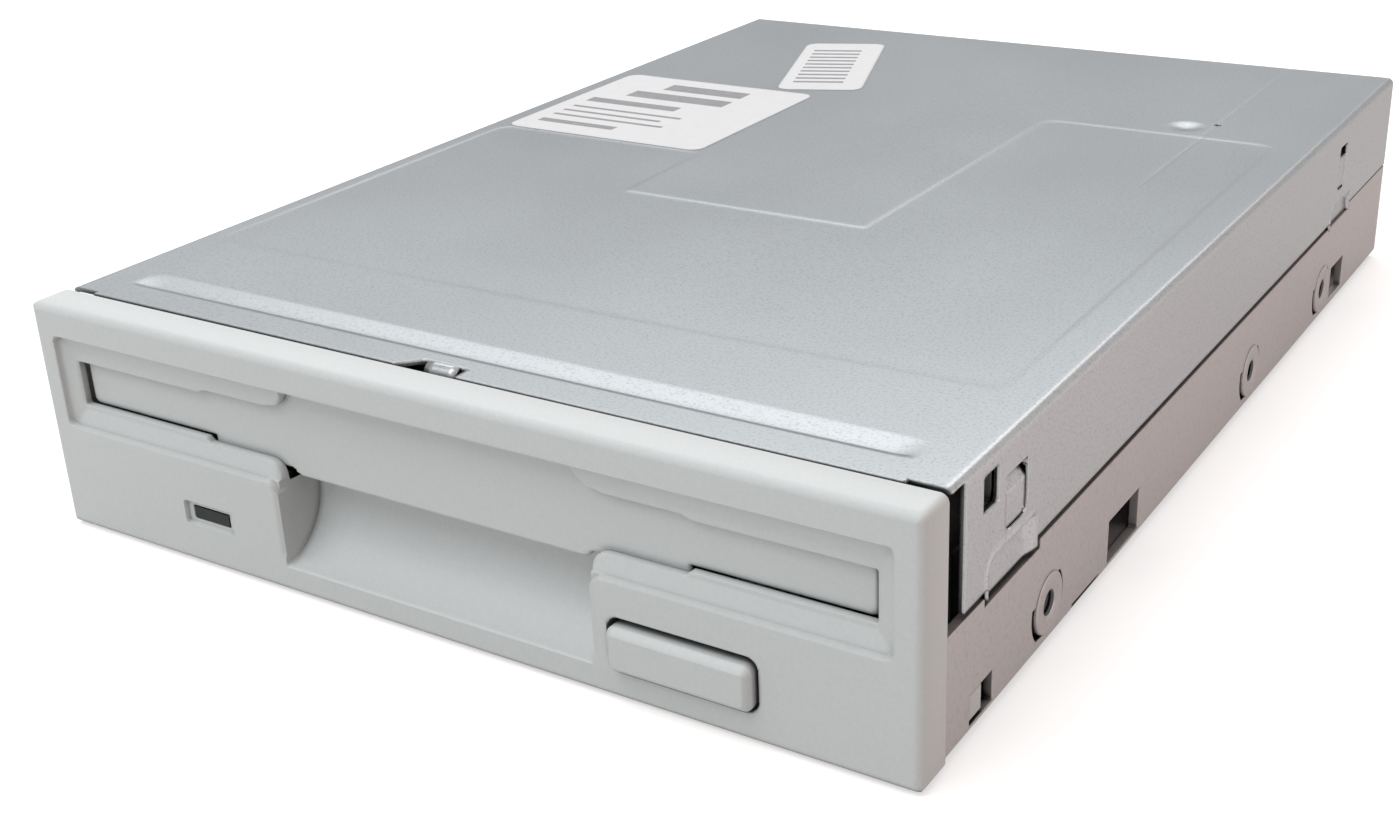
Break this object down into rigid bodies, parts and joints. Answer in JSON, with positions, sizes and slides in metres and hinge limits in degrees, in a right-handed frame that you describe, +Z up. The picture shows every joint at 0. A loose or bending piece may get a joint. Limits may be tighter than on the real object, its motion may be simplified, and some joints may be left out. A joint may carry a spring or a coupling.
{
  "type": "floppy disk drive",
  "caption": "Internal drive for rigid-cased floppy disks: flat pressed-steel box with a plastic bezel, disk slot with flap, thumb scoop, eject button and activity lamp.",
  "frame": {"origin": "under the middle of the whole box, on the plane of the base", "axes": "+X to the right seen from the front, +Y from the bezel to the rear, +Z up"},
  "size_m": [0.1016, 0.1462, 0.0254],
  "materials": {
    "zinc_steel": "galvanised sheet",
    "cover_steel": "satin galvanised sheet",
    "bezel_plastic": "fine satin grain",
    "paper": "matt paper",
    "smoked_lens": "smooth",
    "lamp_resin": "tinted resin",
    "circuit_board": "solder resist",
    "chip_plastic": "moulded",
    "capacitor_sleeve": "shrink sleeve",
    "black_plastic": "moulded",
    "white_plastic": "moulded",
    "contact_gold": "plated",
    "bright_steel": "ground",
    "core_steel": "stacked sheet",
    "copper_winding": "enamelled wire",
    "bearing_bronze": "sintered",
    "magnet_ferrite": "ferrite",
    "ribbon_film": "polyimide film",
    "ceramic": "polished",
    "dark_steel": "blackened"
  },
  "bodies": {
    "chassis": {"chassis": "zinc_steel", "top_cover": "cover_steel", "label": "paper", "strip_label": "paper", "bezel": "bezel_plastic", "led_lens": "smoked_lens", "led_lamp": "lamp_resin", "main_board": "circuit_board", "board_chips": "chip_plastic", "board_capacitors": "capacitor_sleeve", "track_sensor": "black_plastic", "data_connector": "black_plastic", "data_pins": "contact_gold", "power_connector": "white_plastic", "power_pins": "bright_steel", "motor_board": "circuit_board", "stator_core": "core_steel", "stator_coils": "copper_winding", "spindle_bearing": "bearing_bronze", "index_sensor": "chip_plastic", "motor_ribbon": "ribbon_film", "head_ribbon": "ribbon_film", "stepper_bracket": "zinc_steel", "screw_bearing": "bearing_bronze", "stepper_case": "zinc_steel", "guide_rod": "bright_steel", "rod_supports": "black_plastic", "switch_bodies": "black_plastic", "board_screws": "bright_steel", "eject_springs": "bright_steel", "door_spring": "bright_steel"},
    "door": {"slot_door": "bezel_plastic"},
    "slider": {"slide_plate": "zinc_steel", "eject_button": "bezel_plastic"},
    "holder": {"disk_holder": "zinc_steel", "holder_pins": "bright_steel", "latch_post": "bright_steel", "latch_spring": "bright_steel"},
    "latch": {"latch_lever": "dark_steel", "lever_pin": "bright_steel"},
    "screw": {"lead_screw": "bright_steel", "stepper_rotor": "magnet_ferrite"},
    "carriage": {"head_carriage": "black_plastic", "lower_head": "ceramic", "follower_pin": "bright_steel", "arm_pin": "bright_steel", "arm_spring": "bright_steel"},
    "arm": {"head_arm": "black_plastic", "head_gimbal": "contact_gold", "upper_head": "ceramic"},
    "spindle": {"rotor_cup": "zinc_steel", "ring_magnet": "magnet_ferrite", "spindle_shaft": "bright_steel", "spindle_hub": "bright_steel", "chuck_magnet": "magnet_ferrite"},
    "pin": {"drive_pin": "bright_steel"},
    "protect_key": {"protect_plunger": "white_plastic"},
    "density_key": {"density_plunger": "white_plastic"},
    "disk_key": {"disk_plunger": "white_plastic"}
  },
  "joints": [
    {"name": "door_swing", "type": "hinge", "parent": "chassis", "child": "door", "pos_m": [0, -0.0685, 0.022], "axis": [1, 0, 0], "range_deg": [0, 85], "stiffness_Nm_per_rad": 0.001, "springref_deg": -17.19, "deforming": ["door_spring"]},
    {"name": "eject_slide", "type": "slide", "parent": "chassis", "child": "slider", "axis": [0, -1, 0], "range_m": [-0.0005, 0.0055], "deforming": ["eject_springs"]},
    {"name": "holder_drop", "type": "slide", "parent": "chassis", "child": "holder", "axis": [0, 0, -1], "range_m": [-0.00025, 0.00275]},
    {"name": "latch_swing", "type": "hinge", "parent": "holder", "child": "latch", "pos_m": [-0.039, 0.035, 0.02], "axis": [0, 0, 1], "range_deg": [-4.9, 53.05], "deforming": ["latch_spring"]},
    {"name": "head_lower", "type": "hinge", "parent": "carriage", "child": "arm", "pos_m": [0, 0.0515, 0.0175], "axis": [1, 0, 0], "range_deg": [-0.96, 10.42], "deforming": ["arm_spring"]},
    {"name": "screw_spin", "type": "hinge", "parent": "chassis", "child": "screw", "pos_m": [0.016, 0.028, 0.0082], "axis": [0, 1, 0], "range_deg": [0, 1421]},
    {"name": "head_step", "type": "slide", "parent": "chassis", "child": "carriage", "axis": [0, -1, 0], "range_m": [0, 0.0148], "deforming": ["head_ribbon"]},
    {"name": "spindle_spin", "type": "hinge", "parent": "chassis", "child": "spindle", "pos_m": [0, -0.015, 0.008], "axis": [0, 0, 1], "continuous": true},
    {"name": "drive_pin_dip", "type": "slide", "parent": "spindle", "child": "pin", "axis": [0, 0, -1], "range_m": [0, 0.00105], "stiffness_N_per_m": 60, "springref_m": -0.001},
    {"name": "protect_press", "type": "slide", "parent": "chassis", "child": "protect_key", "axis": [0, 0, -1], "range_m": [0, 0.0012], "stiffness_N_per_m": 100, "springref_m": -0.001},
    {"name": "density_press", "type": "slide", "parent": "chassis", "child": "density_key", "axis": [0, 0, -1], "range_m": [0, 0.0012], "stiffness_N_per_m": 100, "springref_m": -0.001},
    {"name": "disk_press", "type": "slide", "parent": "chassis", "child": "disk_key", "axis": [0, 0, -1], "range_m": [0, 0.0012], "stiffness_N_per_m": 100, "springref_m": -0.001}
  ],
  "couplings": [
    {"joint": "holder_drop", "follows": "eject_slide", "ratio": 0.5},
    {"joint": "latch_swing", "follows": "eject_slide", "rad_per_m": 168.19},
    {"joint": "head_lower", "follows": "eject_slide", "rad_per_m": 33.003},
    {"joint": "screw_spin", "follows": "head_step", "rad_per_m": 1675.5}
  ]
}
